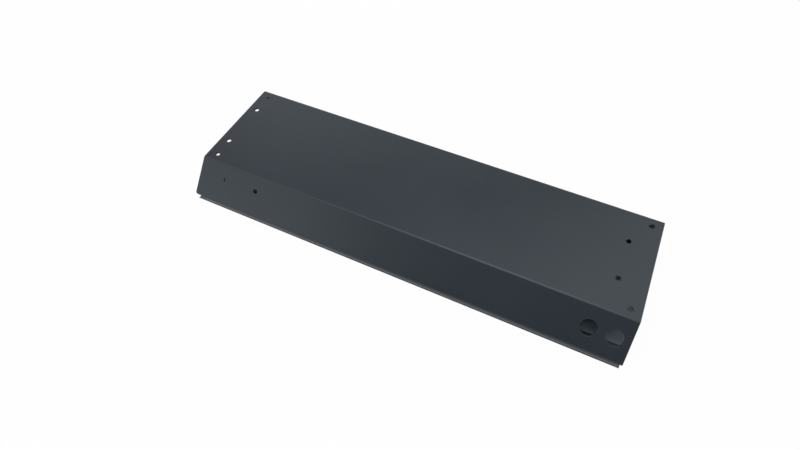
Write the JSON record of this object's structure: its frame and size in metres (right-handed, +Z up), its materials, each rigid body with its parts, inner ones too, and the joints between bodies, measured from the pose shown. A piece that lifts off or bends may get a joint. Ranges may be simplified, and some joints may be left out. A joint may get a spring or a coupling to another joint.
{
  "type": "sheet metal chassis",
  "caption": "Long open-ended folded sheet metal chassis with a flat top, a sloped front wall with button holes, an upright back wall and inward return flanges, in a dark grey coating.",
  "frame": {"origin": "middle of the footprint, on the surface the chassis stands on", "axes": "+X along the folds towards the end with the button holes, +Y from the sloped front wall to the upright back wall, +Z up out of the flat top"},
  "size_m": [0.5, 0.16, 0.041],
  "materials": {
    "powder_coat": "satin slate grey powder coat with a fine texture"
  },
  "bodies": {
    "root": {"folded_chassis": "powder_coat"}
  },
  "joints": []
}
